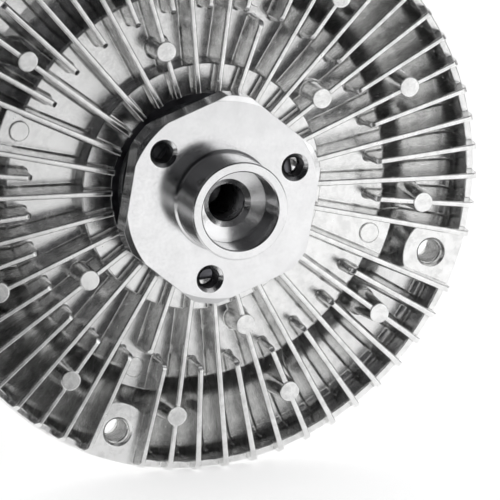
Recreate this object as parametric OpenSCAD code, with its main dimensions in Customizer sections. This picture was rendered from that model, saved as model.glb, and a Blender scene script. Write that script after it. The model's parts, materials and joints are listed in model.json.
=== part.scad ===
// Viscous fan clutch: a finned rear housing with a bolted fan, turning on a ball bearing
// round a steel hub that drives a grooved rotor in silicone fluid.
// Every piece is drawn about the Z axis, with z = 0 on the hub's mounting face and z growing
// towards the front cover. The whole is then laid along Y, with the hub facing -Y.
// Angles run clockwise as seen from the hub side, from +X.

/* [Hub] */
// Diameter of the spigot that centres the pulley
spigot_d = 32.3; // [30:0.1:34]
// Height of the spigot above the mounting face
spigot_h = 17; // [13:0.5:22]
// Mouth diameter of the recess in the spigot
recess_d = 25.8; // [24:0.1:27]
// Diameter where the recess wall meets its sloping floor
dish_d = 25.5; // [24:0.1:26]
// Depth of the recess wall
dish_depth = 11.7; // [9:0.1:12]
// Diameter of the central thread's countersink
centre_sink_d = 16.1; // [15:0.1:18]
// Depth of the central thread's mouth below the spigot's end
thread_mouth_depth = 13.6; // [13.2:0.1:16]
// Core diameter of the central thread
centre_hole_d = 12.5; // [11:0.1:14]
// Length of the central thread
centre_hole_l = 24; // [16:0.5:28]
// Distance across the flats of the hub flange
flange_af = 63.4; // [62:0.2:65]
// Diameter over the turned corners of the hub flange
flange_d = 69; // [67:0.2:70]
// Diameter of the flange's flat face inside its chamfered corners
flange_face_d = 65.4; // [64:0.2:66.4]
// Thickness of the hub flange
flange_t = 7.8; // [6:0.2:10]
// Bolt circle of the tapped holes in the flange
hub_pcd = 52.5; // [50:0.5:54]
// Core diameter of the tapped holes
hub_hole_d = 6.8; // [5:0.1:7.5]
// Countersink diameter of the tapped holes
hub_sink_d = 9.3; // [8.5:0.1:10]
// Diameter of the neck between the flange and the bearing
neck_d = 38; // [35:0.5:39]
// Angle of the first tapped hole
hub_angle = -20.1; // [-60:0.1:60]

/* [Bearing] */
// Bore of the ball bearing
bearing_id = 30; // [28:0.5:31]
// Outside diameter of the ball bearing
bearing_od = 62; // [60:0.5:64]
// Width of the ball bearing
bearing_w = 16; // [15:0.5:18]
// Diameter of the balls
ball_d = 9.5; // [8.5:0.1:10]
// Clearance between a ball and its race or pocket
ball_gap = 0.1; // [0.05:0.01:0.15]
// Thickness of the spring clip that holds the bearing
clip_t = 1.6; // [1.2:0.1:2]

/* [Rear housing] */
// Diameter over the fin tips
fin_d = 190; // [186:1:196]
// Space between the back of the hub flange and the fin tops
fin_gap = 9; // [7:0.5:12]
// Height of the fins over the bearing ring
ring_fin_h = 4.1; // [3:0.1:5]
// Height of the fins over the plateau
plateau_fin_h = 10.2; // [9:0.1:11.5]
// Height of the fins over the rim and the lug pads
lip_fin_h = 5.8; // [4.5:0.1:7]
// Drop from the plateau to the floor of the outer channel
channel_drop = 8.4; // [7:0.1:9.5]
// Diameter of the bearing ring
ring_d = 82.6; // [80:0.2:86]
// Diameter of the plateau
plateau_d = 130.8; // [126:0.2:134]
// Thickness of a fin at its top
fin_t = 1.8; // [1.4:0.1:2.2]
// Draft of the fins and posts, in degrees on each side
draft = 3.4; // [1:0.1:4]
// Radius where the short fins begin
short_fin_r = 60.2; // [57:0.1:62]
// Wall thickness of the casting
wall = 3.8; // [3:0.1:4.5]
// Angular places for fins round the housing
fin_places = 60; // [60, 64]
// Angle of the first fan lug
lug_angle = 19.7; // [0:0.1:60]

/* [Fan lugs] */
// Bolt circle of the fan lugs
lug_pcd = 171.4; // [170:0.2:173]
// Core diameter of the fan bolt holes
lug_hole_d = 8.5; // [6.5:0.1:9]
// Thickness of a lug at its bolt hole
lug_t = 13.5; // [11:0.5:15]

/* [Ejector posts] */
// Diameter of a post's round top
post_d = 6.6; // [5.5:0.1:7.5]
// Circle of the outer posts
outer_post_pcd = 152.7; // [148:0.1:158]
// Circle of the inner posts
inner_post_pcd = 97; // [94:0.1:102]
// Circle of the flush pads beside the lugs
lug_post_pcd = 128.4; // [124:0.1:131]

/* [Rotor] */
// Diameter of the working chamber
chamber_d = 150; // [147:0.5:151]
// Radial space between the rotor and the chamber wall
rotor_side_gap = 1.5; // [1:0.1:2.5]
// Axial running space in front of and behind the rotor
run_gap = 1; // [0.6:0.1:1.4]
// Thickness of the rotor's web
web_t = 4; // [3:0.1:5]
// Diameter of the shaft seat for the rotor
rotor_seat_d = 24; // [22:0.2:26]
// Distance across the two drive flats of that seat
rotor_seat_af = 21; // [19:0.2:21.5]
// Width of one ring-shaped land
land_w = 2; // [1.6:0.1:2.4]
// Radial space between the rotor's lands and the cover's lands
land_gap = 0.5; // [0.4:0.05:0.7]
// Number of lands on the front of the rotor
land_count = 5; // [3:1:5]

/* [Front cover] */
// Thickness of the cover's rim
cover_rim_t = 3.5; // [3:0.1:5]
// Diameter of the separator plate
plate_d = 91; // [88:0.5:93]
// Thickness of the separator plate
plate_t = 1.2; // [1:0.1:1.6]
// Inside diameter of the fluid reservoir
reservoir_d = 80; // [76:0.5:82]
// Height of the fluid reservoir
reservoir_h = 10; // [9:0.5:13]
// Number of fins on the cover
cover_fins = 40; // [30:1:48]
// Diameter of the seal's round section
seal_d = 1.8; // [1.5:0.1:2]

/* [Valve] */
// Diameter of the valve shaft
valve_shaft_d = 6; // [5:0.1:6.5]
// Running clearance of the valve shaft on its radius
valve_fit = 0.05; // [0.03:0.01:0.1]
// Radius of the circle on which the fluid port lies
port_r = 31; // [28:0.5:32]
// Diameter of the fluid port
port_d = 7; // [5:0.5:8]
// Width of the bimetal strip
coil_w = 8; // [6:0.5:10]
// Thickness of the bimetal strip
coil_t = 0.9; // [0.6:0.1:1.1]
// Radial step of the coil for each turn
coil_pitch = 2.6; // [2.2:0.1:2.8]
// Half turns in the coil
coil_halves = 12; // [8:2:12]

/* [Hidden] */
$fn = 96;
over = 1;
play = 0.2;
edge = 0.4;
pitch = 360 / fin_places;
lug_step = fin_places / 4;

// Heights along the axis, from the mounting face forward
fin_z = flange_t + fin_gap;
ring_z = fin_z + ring_fin_h;
plateau_z = fin_z + plateau_fin_h;
lip_z = fin_z + lip_fin_h;
floor_z = plateau_z + channel_drop;
floor_fall = 0.8;
bed_rise = 0.2;
skirt_z = floor_z + wall;
clip_land = 1.4;
clip_z = ring_z + clip_land;
bearing_z0 = clip_z + clip_t;
bearing_z1 = bearing_z0 + bearing_w;
bearing_mid_z = (bearing_z0 + bearing_z1) / 2;
neck_flare = 3.4;
sink_slope = 0.55;
shoulder_t = 2.5;
shoulder_z = max(bearing_z1, skirt_z) + shoulder_t;
web_z0 = shoulder_z + run_gap;
web_z1 = web_z0 + web_t;
rotor_hub_rise = 1.5;
rotor_hub_z1 = web_z1 + rotor_hub_rise;
rotor_clip_t = 1.5;
rotor_groove = 1.4;
rotor_clip_lip = 2.2;
shaft_nose = 0.8;
shaft_end_z = rotor_hub_z1 + rotor_clip_t + shaft_nose;
ceiling_z = shaft_end_z + run_gap;
plate_z1 = ceiling_z + plate_t;
cover_sink = 1.6;
seat_z = ceiling_z + cover_sink;
cover_z = seat_z + cover_rim_t;
roll_t = 1.8;
roll_z = cover_z + roll_t;
reservoir_z1 = plate_z1 + reservoir_h;
dome_z = reservoir_z1 + wall;
nose_h = 2.4;
nose_z = dome_z + nose_h;
coil_rise = 1.6;
coil_z0 = nose_z + coil_rise;
coil_z1 = coil_z0 + coil_w;

// Radii of the bearing
bore_r = bearing_od / 2;
pitch_r = (bearing_id + bearing_od) / 4;
groove_r = ball_d / 2 + ball_gap;
race_land = 0.3 * ball_d;
race_inner_r = pitch_r - race_land;
race_outer_r = pitch_r + race_land;
bearing_seal_t = 1;
bearing_seal_lip = 0.6;
bearing_seal_r = race_outer_r + bearing_seal_lip;
bearing_seal_inset = 0.5;
cage_t = 3;
cage_bar = 0.9;
cage_w = ball_d + 2 * cage_bar;
ball_count = 9;

// Radii of the rear housing
fin_r = fin_d / 2;
rim_r = fin_r + 0.5;
mouth_flare = 0.5;
seat_play = 0.2;
bore_shoulder = 3.4;
lip_w = 2.7;
fin_inner_r = bore_r + 0.8;
tip_round = 2.5;
heel_round = 1.2;
nose_round = 4;
nose_set = 0.35;
brow = 0.3;
corner_bite = 0.06;
plateau_r = plateau_d / 2;
ring_r = ring_d / 2;
cone_run = 7.9;
channel_r0 = plateau_r + cone_run;
lip_r = rim_r - lip_w;
cove_r = 3;
cove_step = 18;
channel_r1 = (channel_r0 + lip_r - cove_r) / 2;
boss_wall = 5;
boss_r = bore_r + boss_wall;
clip_groove = 1.2;
clip_lip = 2.6;
clip_opening = 14;
clip_angle = 60;
chamber_r = chamber_d / 2;
seat_w = 2.5;
drum_wall = 3;
drum_r = chamber_r + seat_w + drum_wall;
lug_r = lug_pcd / 2;
lug_wall = 4;
lug_end_r = max(rim_r, lug_r + lug_hole_d / 2 + lug_wall);
lug_round = 13;
lug_inset = 9.7;
tongue_r = plateau_r + 5.4;
stub_r = short_fin_r - 3.2;
post_ring_step = 5;
post_first = 3;
post_rise = 0.2;
inner_post_places = [9, 21, 39, 51];

// Radii of the rotor, the cover and the valve
rotor_r = chamber_r - rotor_side_gap;
land_pitch = 2 * (land_w + land_gap);
screw_d = 3;
screw_count = 6;
screw_angle = 30;
screw_wall = 0.5;
screw_head = 0.8;
screw_head_t = 0.5;
screw_hole_l = 4;
plate_rim_d = max(plate_d, reservoir_d + 2 * (screw_d + 2 * screw_wall));
screw_r = (plate_rim_d + reservoir_d) / 4;
land_r0 = plate_rim_d / 2 + shoulder_t + screw_wall;
lands = min(land_count, floor((rotor_r - land_w - land_r0) / land_pitch) + 1);
vent_d = 7;
vent_r = boss_r - 2;
cover_r = chamber_r + seat_w;
dome_round = 3;
dome_lean = 0.6;
dome_r = reservoir_d / 2 + wall + dome_round;
corner_round = 2;
cover_fin_t = 2;
cover_fin_h = 4.5;
return_d = 2.4;
wiper_w = 5;
wiper_l = 7;
wiper_inset = 6;
wiper_sink = 2;
wiper_stand = 0.5;
plug_d = 7;
plug_r = reservoir_d / 2 - plug_d - corner_round;
plug_angle = 150;
plug_head = 1;
plug_head_t = 1.2;
plug_socket_d = 4;
shaft_r = valve_shaft_d / 2;
bush_wall = 2;
bush_r = shaft_r + bush_wall;
nose_wall = 4;
nose_r = bush_r + nose_wall;
nose_bevel = 1.2;
arm_gap = 0.6;
arm_t = 1;
arm_z = plate_z1 + arm_gap;
boss_drop = 4.4;
nose_z0 = reservoir_z1 - boss_drop;
seal_land = 1.2;
seal_z0 = nose_z0 + seal_land;
valve_seal_w = 1.8;
valve_collar_t = 1;
coil_eye = 1.5;
coil_r0 = shaft_r + coil_eye;
coil_r1 = coil_r0 + coil_halves * coil_pitch / 2;
anchor_l = 5;
anchor_gap = 1.6;
anchor_w = 6;
arm_w = 7;
arm_lap = 2;
arm_seat = 1;
valve_groove = 0.7;
valve_clip_t = 0.8;
valve_clip_gap = 3;

// Lays a piece drawn about Z along the clutch's own axis
module along_axis() {
  rotate([-90, 0, 0]) children();
}

// A plain tube between two heights
module tube(r0, r1, z0, z1) {
  difference() {
    translate([0, 0, z0]) cylinder(r = r1, h = z1 - z0);
    translate([0, 0, z0 - over]) cylinder(r = r0, h = z1 - z0 + 2 * over);
  }
}

// An open spring ring with a gap of the given width
module spring_ring(r0, r1, z0, t, gap) {
  difference() {
    tube(r0, r1, z0, z0 + t);
    translate([0, -gap / 2, z0 - over]) cube([r1 + over, gap, t + 2 * over]);
  }
}

// Turns its children to a fin place of the housing
module at_place(k) {
  rotate([0, 0, lug_angle + k * pitch]) children();
}

// Half the thickness of a drafted fin or post at a depth below its top
function drafted(half, depth) = half + depth * tan(draft);

// What lies outside the rounded top corner of a rib that ends at x, on the side given as 1 or -1
module corner_cut(x, top_z, r, side) {
  width = 10;
  centre = r * (1 - corner_bite);
  difference() {
    translate([side > 0 ? x - r : x - over, -width / 2, top_z - over]) cube([r + over, width, r + over]);
    translate([x - side * centre, width, top_z + centre]) rotate([90, 0, 0]) cylinder(r = r, h = 2 * width);
  }
}

// A drafted radial rib between two radii, from its top height to its foot
module rib(r0, r1, top_z, foot_z, t) {
  top = t / 2;
  foot = drafted(top, foot_z - top_z);
  section = [[-top_z, brow - top], [-top_z, top - brow], [-top_z - brow, drafted(top, brow)],
    [-foot_z, foot], [-foot_z, -foot], [-top_z - brow, -drafted(top, brow)]];
  translate([r0, 0, 0]) rotate([0, 90, 0]) linear_extrude(r1 - r0) polygon(section);
}

// A fin of the rear housing, with its outer tip rounded and its inner end rounded or left square
module housing_fin(r0, r1, foot_z, inner_round, outer_round) {
  difference() {
    rib(r0, r1, fin_z, foot_z, fin_t);
    if (inner_round > 0) corner_cut(r0, fin_z, inner_round, -1);
    if (outer_round > 0) corner_cut(r1, fin_z, outer_round, 1);
  }
}

// The round, drafted end of a rib, and the ejector posts
module drafted_post(r, half, top_z, foot_z) {
  translate([r, 0, top_z]) cylinder(r1 = half, r2 = drafted(half, foot_z - top_z), h = foot_z - top_z);
}

// A fin that starts on the plateau with a round nose, rounded off at the top
module short_fin(foot_z) {
  difference() {
    union() {
      housing_fin(short_fin_r, fin_r, foot_z, 0, tip_round);
      drafted_post(short_fin_r, fin_t / 2, fin_z, foot_z);
    }
    corner_cut(short_fin_r - fin_t / 2 - nose_set, fin_z, nose_round, -1);
  }
}

// The inner part of a long fin, left where a lug takes its outer part
module stub_fin(foot_z) {
  difference() {
    union() {
      housing_fin(fin_inner_r, stub_r, foot_z, heel_round, 0);
      drafted_post(stub_r, fin_t / 2, fin_z, foot_z);
    }
    corner_cut(stub_r + fin_t / 2 + nose_set, fin_z, nose_round, 1);
  }
}

// The revolved outside of the rear housing, solid to the axis
module housing_blank() {
  inner = [[0, ring_z], [ring_r - edge, ring_z], [ring_r, ring_z + edge], [ring_r + edge, plateau_z],
    [plateau_r - edge, plateau_z], [plateau_r + edge, plateau_z + edge],
    [channel_r0, floor_z - floor_fall], [channel_r1, floor_z]];
  cove_z = floor_z - bed_rise;
  cove = [for (t = [0 : cove_step : 90]) [lip_r - cove_r * (1 - sin(t)), cove_z - cove_r * (1 - cos(t))]];
  outer = [[lip_r, lip_z + edge], [lip_r + edge, lip_z], [rim_r - edge, lip_z], [rim_r, lip_z + edge],
    [rim_r, skirt_z - edge], [rim_r - edge, skirt_z], [drum_r, skirt_z], [drum_r, roll_z - over],
    [drum_r - over, roll_z], [0, roll_z]];
  rotate_extrude() polygon(concat(inner, cove, outer));
}

// The bearing seat, the chamber and the rolled-over mouth, as one revolved cut
module housing_cavity() {
  shoulder_r = bore_r - bore_shoulder;
  entry_r = bore_r + seat_play;
  rotate_extrude() polygon([[0, fin_z - over], [bore_r + mouth_flare, fin_z - over],
    [entry_r, ring_z + edge], [entry_r, clip_z], [bore_r + clip_groove, clip_z],
    [bore_r + clip_groove, bearing_z0],
    [bore_r, bearing_z0], [bore_r, bearing_z1], [shoulder_r, bearing_z1], [shoulder_r, shoulder_z],
    [boss_r, shoulder_z], [boss_r, plateau_z + wall], [plateau_r - 0.5 * wall, plateau_z + wall],
    [channel_r0 - 0.4 * wall, skirt_z], [chamber_r, skirt_z], [chamber_r, seat_z], [cover_r, seat_z],
    [cover_r, cover_z], [chamber_r, cover_z], [chamber_r, roll_z + over], [0, roll_z + over]]);
}

// The fins of the rear housing in their long, short and cut-off forms
module housing_fins() {
  foot_z = floor_z + wall / 2;
  stub_foot_z = plateau_z + over;
  for (k = [0 : fin_places - 1]) {
    is_lug = k % lug_step == 0;
    is_long = k % 2 == 1;
    at_place(k) {
      if (!is_lug && is_long) housing_fin(fin_inner_r, fin_r, foot_z, heel_round, tip_round);
      if (!is_lug && !is_long) short_fin(foot_z);
      if (is_lug && is_long) stub_fin(stub_foot_z);
    }
  }
}

// A wedge between the two fins that flank a lug
module lug_wedge(r1, z0, z1) {
  half = pitch;
  translate([0, 0, z0]) linear_extrude(z1 - z0)
    polygon([[0, 0], [r1 / cos(half), -r1 * tan(half)], [r1 / cos(half), r1 * tan(half)]]);
}

// A flat lug pad with a round inner end, and the plateau's tongue behind it
module fan_lug() {
  centre_r = lug_r - lug_inset + lug_round;
  pad_h = skirt_z - over - lip_z;
  intersection() {
    lug_wedge(lug_end_r + over, lip_z, lip_z + pad_h);
    union() {
      translate([centre_r, 0, lip_z]) cylinder(r = lug_round, h = pad_h);
      translate([centre_r, -lug_round, lip_z]) cube([lug_end_r, 2 * lug_round, pad_h]);
    }
    translate([0, 0, lip_z]) cylinder(r = lug_end_r, h = pad_h);
  }
  intersection() {
    lug_wedge(tongue_r + over, plateau_z, floor_z + over);
    tube(plateau_r - over, tongue_r, plateau_z, floor_z + over);
  }
  translate([lug_post_pcd / 2, 0, plateau_z - edge]) cylinder(d = post_d, h = wall);
}

// The tapped fan bolt hole, chamfered behind and spot-faced in front
module fan_lug_hole() {
  chamfer = 0.75;
  r = lug_hole_d / 2;
  translate([lug_r, 0, lip_z - over]) cylinder(r = r, h = skirt_z - lip_z + 2 * over);
  translate([lug_r, 0, lip_z]) cylinder(r1 = r + chamfer, r2 = r, h = chamfer);
  translate([lug_r, 0, lip_z + lug_t]) cylinder(r = lug_r - drum_r - play, h = skirt_z);
}

// The round posts that the ejector pins press on
module ejector_posts() {
  foot_z = floor_z + over;
  top_z = fin_z - post_rise;
  for (n = [0 : floor(fin_places / post_ring_step) - 1])
    at_place(post_first + post_ring_step * n) drafted_post(outer_post_pcd / 2, post_d / 2, top_z, foot_z);
  for (k = inner_post_places)
    at_place(k) drafted_post(inner_post_pcd / 2, post_d / 2, top_z, plateau_z + over);
}

module rear_housing() color([0.80, 0.80, 0.79]) along_axis() {
  difference() {
    union() {
      housing_blank();
      housing_fins();
      ejector_posts();
      for (n = [0 : 3]) at_place(n * lug_step) fan_lug();
    }
    housing_cavity();
    for (n = [0 : 3]) at_place(n * lug_step) fan_lug_hole();
  }
}

// The turned outline of the hub, from the spigot's end to the rotor's seat
module hub_blank() {
  spigot_r = spigot_d / 2;
  groove = 0.6;
  groove_z = -1.8;
  foot = 0.7;
  flare_r = neck_d / 2 + neck_flare;
  flare_z = flange_t + neck_flare;
  rotate_extrude() polygon([[0, -spigot_h], [spigot_r - edge, -spigot_h], [spigot_r, -spigot_h + edge],
    [spigot_r, groove_z - groove], [spigot_r - groove, groove_z - groove / 2],
    [spigot_r - groove, groove_z + groove / 2], [spigot_r, groove_z + groove],
    [spigot_r + foot, -edge], [spigot_r + foot, over], [flare_r, over],
    [flare_r, flare_z], [neck_d / 2, flare_z + neck_flare], [neck_d / 2, bearing_z0],
    [bearing_id / 2, bearing_z0], [bearing_id / 2, bearing_z1 - edge],
    [bearing_id / 2 - edge, bearing_z1], [0, bearing_z1]]);
}

// The six-sided flange with its corners turned and chamfered
module hub_flange() {
  chamfer_h = 0.5;
  face_r = flange_face_d / 2;
  corner_r = flange_d / 2;
  intersection() {
    rotate([0, 0, hub_angle]) cylinder(d = flange_af / cos(30), h = flange_t, $fn = 6);
    rotate_extrude() polygon([[0, 0], [face_r, 0], [corner_r, chamfer_h],
      [corner_r, flange_t - edge], [corner_r - edge, flange_t], [0, flange_t]]);
  }
}

// The recess in the spigot, its sloping floor, and the countersink and core of the central thread
module hub_recess() {
  mouth_z = thread_mouth_depth - spigot_h;
  core_r = centre_hole_d / 2;
  sink_r = centre_sink_d / 2;
  sink_z = mouth_z - (sink_r - core_r) * sink_slope;
  mouth_r = recess_d / 2;
  end_z = mouth_z + centre_hole_l;
  rotate_extrude() polygon([[0, -spigot_h - over], [mouth_r + edge, -spigot_h - over],
    [mouth_r + edge, -spigot_h], [mouth_r, -spigot_h + edge], [dish_d / 2, -spigot_h + dish_depth],
    [sink_r, sink_z], [core_r, mouth_z], [core_r, end_z], [0, end_z + core_r / 2]]);
}

// The seat of the rotor, with two drive flats and a groove for its clip
module rotor_seat(grow, z0, z1) {
  intersection() {
    translate([0, 0, z0]) cylinder(d = rotor_seat_d + 2 * grow, h = z1 - z0);
    translate([-rotor_seat_d, -rotor_seat_af / 2 - grow, z0])
      cube([2 * rotor_seat_d, rotor_seat_af + 2 * grow, z1 - z0]);
  }
}

module hub_shaft() color([0.86, 0.86, 0.87]) along_axis() {
  sink = (hub_sink_d - hub_hole_d) / 2;
  difference() {
    union() {
      hub_blank();
      hub_flange();
      rotor_seat(0, bearing_z1 - over, shaft_end_z);
    }
    hub_recess();
    tube(rotor_seat_d / 2 - rotor_groove, rotor_seat_d, rotor_hub_z1, rotor_hub_z1 + rotor_clip_t);
    for (a = [0 : 120 : 240]) rotate([0, 0, hub_angle + a]) translate([hub_pcd / 2, 0, 0]) {
      translate([0, 0, -over]) cylinder(d = hub_hole_d, h = flange_t + 2 * over);
      translate([0, 0, -over]) cylinder(d = hub_sink_d, h = over);
      cylinder(d1 = hub_sink_d, d2 = hub_hole_d, h = sink);
    }
  }
}

// The ball track as a ring of round section
module ball_track() {
  rotate_extrude() translate([pitch_r, bearing_mid_z]) circle(r = groove_r);
}

module bearing_inner_race() color([0.75, 0.76, 0.78]) along_axis() {
  difference() {
    tube(bearing_id / 2, race_inner_r, bearing_z0, bearing_z1);
    ball_track();
  }
}

module bearing_outer_race() color([0.75, 0.76, 0.78]) along_axis() {
  seat_l = bearing_seal_inset + bearing_seal_t;
  difference() {
    tube(race_outer_r, bore_r, bearing_z0, bearing_z1);
    ball_track();
    tube(0.1, bearing_seal_r, bearing_z0 - over, bearing_z0 + seat_l);
    tube(0.1, bearing_seal_r, bearing_z1 - seat_l, bearing_z1 + over);
  }
}

module bearing_balls() color([0.85, 0.86, 0.88]) along_axis() {
  for (n = [0 : ball_count - 1]) rotate([0, 0, n * 360 / ball_count])
    translate([pitch_r, 0, bearing_mid_z]) sphere(d = ball_d);
}

module bearing_cage() color([0.72, 0.60, 0.32]) along_axis() {
  difference() {
    tube(pitch_r - cage_t / 2, pitch_r + cage_t / 2, bearing_mid_z - cage_w / 2,
      bearing_mid_z + cage_w / 2);
    for (n = [0 : ball_count - 1]) rotate([0, 0, n * 360 / ball_count])
      translate([pitch_r - cage_t, 0, bearing_mid_z]) rotate([0, 90, 0])
        cylinder(r = groove_r, h = 2 * cage_t);
  }
}

// A sealing disc in the outer race, with a running gap at the inner race
module bearing_seal(z) {
  tube(race_inner_r + valve_fit * 2, bearing_seal_r, z, z + bearing_seal_t);
}

module bearing_seal_rear() color([0.10, 0.10, 0.11]) along_axis()
  bearing_seal(bearing_z0 + bearing_seal_inset);

module bearing_seal_front() color([0.10, 0.10, 0.11]) along_axis()
  bearing_seal(bearing_z1 - bearing_seal_inset - bearing_seal_t);

module bearing_clip() color([0.30, 0.30, 0.32]) along_axis()
  rotate([0, 0, clip_angle])
    spring_ring(bore_r - clip_lip, bore_r + clip_groove - play / 2, clip_z, clip_t, clip_opening);

// The rotor's front lands; the cover's lands lie between them
function land_r(n) = land_r0 + n * land_pitch;

module rotor_disc() color([0.70, 0.70, 0.71]) along_axis() {
  land_top = ceiling_z - run_gap;
  rear_land_z = skirt_z + run_gap;
  difference() {
    union() {
      translate([0, 0, web_z0]) cylinder(r = rotor_r, h = web_t);
      translate([0, 0, bearing_z1]) cylinder(r = race_inner_r - 1, h = rotor_hub_z1 - bearing_z1);
      for (n = [0 : lands - 1]) tube(land_r(n), land_r(n) + land_w, web_z1 - over, land_top);
      for (n = [0 : lands - 1]) tube(land_r(n), land_r(n) + land_w, rear_land_z, web_z0 + over);
    }
    rotor_seat(0, bearing_z1 - over, rotor_hub_z1 + over);
    for (a = [0 : 60 : 300]) rotate([0, 0, a])
      translate([vent_r, 0, web_z0 - over]) cylinder(d = vent_d, h = web_t + 2 * over);
  }
}

module rotor_clip() color([0.30, 0.30, 0.32]) along_axis()
  spring_ring(rotor_seat_d / 2 - rotor_groove, rotor_seat_d / 2 + rotor_clip_lip, rotor_hub_z1,
    rotor_clip_t, rotor_seat_d / 2 - over);

// The cover's turned shape: rim, wall over the chamber, dome over the reservoir and the nose
module cover_blank() {
  groove_z = seat_z + cover_rim_t / 2 - seal_d / 2;
  rotate_extrude() polygon([[0, ceiling_z], [chamber_r - play, ceiling_z], [chamber_r - play, seat_z],
    [cover_r, seat_z], [cover_r, groove_z], [cover_r - seal_d, groove_z],
    [cover_r - seal_d, groove_z + seal_d], [cover_r, groove_z + seal_d], [cover_r, cover_z],
    [dome_r + dome_round, cover_z], [dome_r, cover_z + dome_round],
    [dome_r - dome_lean, dome_z - dome_round], [dome_r - dome_lean - dome_round, dome_z],
    [nose_r + nose_bevel, dome_z], [nose_r, dome_z + nose_bevel], [nose_r, nose_z], [0, nose_z]]);
}

// The cover's hollow: plate seat, reservoir, and the stepped bore of the valve shaft
module cover_cavity() {
  seal_r = shaft_r + valve_seal_w;
  plate_seat_r = plate_rim_d / 2 + play / 2;
  tank_r = reservoir_d / 2;
  rotate_extrude() polygon([[0, ceiling_z - over], [plate_seat_r, ceiling_z - over],
    [plate_seat_r, plate_z1], [tank_r, plate_z1], [tank_r, reservoir_z1 - corner_round],
    [tank_r - corner_round, reservoir_z1], [nose_r, reservoir_z1], [nose_r, nose_z0],
    [shaft_r + play, nose_z0], [shaft_r + play, seal_z0], [seal_r, seal_z0],
    [seal_r, seal_z0 + valve_seal_w], [bush_r, seal_z0 + valve_seal_w],
    [bush_r, nose_z + over], [0, nose_z + over]]);
}

// The cover's radial fins, sloping down to the rolled edge
module cover_fins_cut() {
  top_z = dome_z - corner_round;
  outer_z = cover_z + cover_fin_h;
  outer_r = chamber_r - dome_lean;
  root_r = dome_r - dome_round;
  intersection() {
    for (n = [0 : cover_fins - 1]) rotate([0, 0, (n + 0.5) * 360 / cover_fins]) mirror([0, 0, 1])
      rib(root_r, outer_r, -top_z, edge - cover_z, cover_fin_t);
    rotate_extrude() polygon([[root_r - over, ceiling_z], [outer_r, ceiling_z], [outer_r, outer_z - over],
      [outer_r - over, outer_z], [dome_r + over, top_z], [root_r - over, top_z]]);
  }
}

// The cast post that holds the coil's outer end in a slot
module coil_post() {
  difference() {
    translate([coil_r1 + anchor_gap, -anchor_w / 2, dome_z - over])
      cube([anchor_l, anchor_w, coil_z1 - dome_z + over]);
    translate([coil_r1, -play / 2, coil_z0 - play]) cube([2 * anchor_l, coil_t + play, coil_w + over]);
  }
}

// The drilled way back from the chamber's edge to the reservoir
module return_hole() {
  r0 = rotor_r - rotor_side_gap;
  r1 = reservoir_d / 2 - corner_round;
  rise = plate_t + 0.4 * reservoir_h;
  translate([r0, 0, ceiling_z - screw_wall]) rotate([0, -90 + atan2(rise, r0 - r1), 0])
    cylinder(d = return_d, h = norm([rise, r0 - r1]));
}

// The pocket and the block that scoop fluid off the rotor's edge
module wiper_block(z0, z1) {
  translate([rotor_r - wiper_inset, wiper_inset, z0]) cube([wiper_w, wiper_l, z1 - z0]);
}

// The ring of screws that hold the separator plate
module at_screws() {
  for (n = [0 : screw_count - 1]) rotate([0, 0, screw_angle + n * 360 / screw_count])
    translate([screw_r, 0, 0]) children();
}

// The place of the reservoir's filling hole
module at_plug() {
  rotate([0, 0, plug_angle]) translate([plug_r, 0, 0]) children();
}

module front_cover() color([0.80, 0.80, 0.79]) along_axis() {
  difference() {
    union() {
      difference() {
        union() {
          cover_blank();
          cover_fins_cut();
        }
        cover_cavity();
      }
      for (n = [0 : lands - 2])
        tube(land_r(n) + land_w + land_gap, land_r(n + 1) - land_gap, web_z1 + run_gap, ceiling_z + over);
      coil_post();
    }
    return_hole();
    wiper_block(ceiling_z - over, ceiling_z + wiper_sink);
    at_screws() translate([0, 0, plate_z1 - over]) cylinder(d = screw_d, h = screw_hole_l + over);
    at_plug() translate([0, 0, reservoir_z1 - over]) cylinder(d = plug_d, h = wall + 2 * over);
  }
}

module cover_seal() color([0.12, 0.12, 0.12]) along_axis()
  rotate_extrude() translate([cover_r - seal_d / 2, seat_z + cover_rim_t / 2]) circle(d = seal_d);

module separator_plate() color([0.62, 0.63, 0.65]) along_axis() {
  difference() {
    translate([0, 0, ceiling_z]) cylinder(d = plate_rim_d, h = plate_t);
    translate([port_r, 0, ceiling_z - over]) cylinder(d = port_d, h = plate_t + 2 * over);
    at_screws() translate([0, 0, ceiling_z - over]) cylinder(d = screw_d, h = plate_t + 2 * over);
  }
}

module separator_screws() color([0.55, 0.55, 0.57]) along_axis() {
  at_screws() {
    translate([0, 0, ceiling_z]) cylinder(d = screw_d, h = plate_t + screw_hole_l - edge);
    translate([0, 0, ceiling_z - screw_head_t]) cylinder(d = screw_d + 2 * screw_head, h = screw_head_t);
  }
}

module pump_wiper() color([0.22, 0.20, 0.18]) along_axis()
  wiper_block(ceiling_z - wiper_stand, ceiling_z + wiper_sink);

module fill_plug() color([0.62, 0.63, 0.65]) along_axis()
  at_plug() difference() {
    union() {
      translate([0, 0, reservoir_z1]) cylinder(d = plug_d, h = wall);
      translate([0, 0, dome_z]) cylinder(d = plug_d + 2 * plug_head, h = plug_head_t);
    }
    translate([0, 0, dome_z - over]) cylinder(d = plug_socket_d, h = wall, $fn = 6);
  }

module valve_shaft() color([0.70, 0.71, 0.73]) along_axis() {
  collar_z = nose_z0 - play - valve_collar_t;
  clip_z0 = nose_z + play;
  difference() {
    union() {
      translate([0, 0, arm_z - arm_gap / 2]) cylinder(r = shaft_r - arm_seat, h = arm_t + arm_gap / 2);
      translate([0, 0, arm_z + arm_t]) cylinder(r = shaft_r, h = coil_z1 + arm_gap - arm_z - arm_t);
      translate([0, 0, collar_z]) cylinder(r = bush_r, h = valve_collar_t);
    }
    tube(shaft_r - valve_groove, 2 * shaft_r, clip_z0, clip_z0 + valve_clip_t);
    translate([-2 * shaft_r, -coil_t - play / 4, coil_z0 - play])
      cube([4 * shaft_r, coil_t + play / 2, coil_w + 2 * over]);
  }
}

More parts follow.
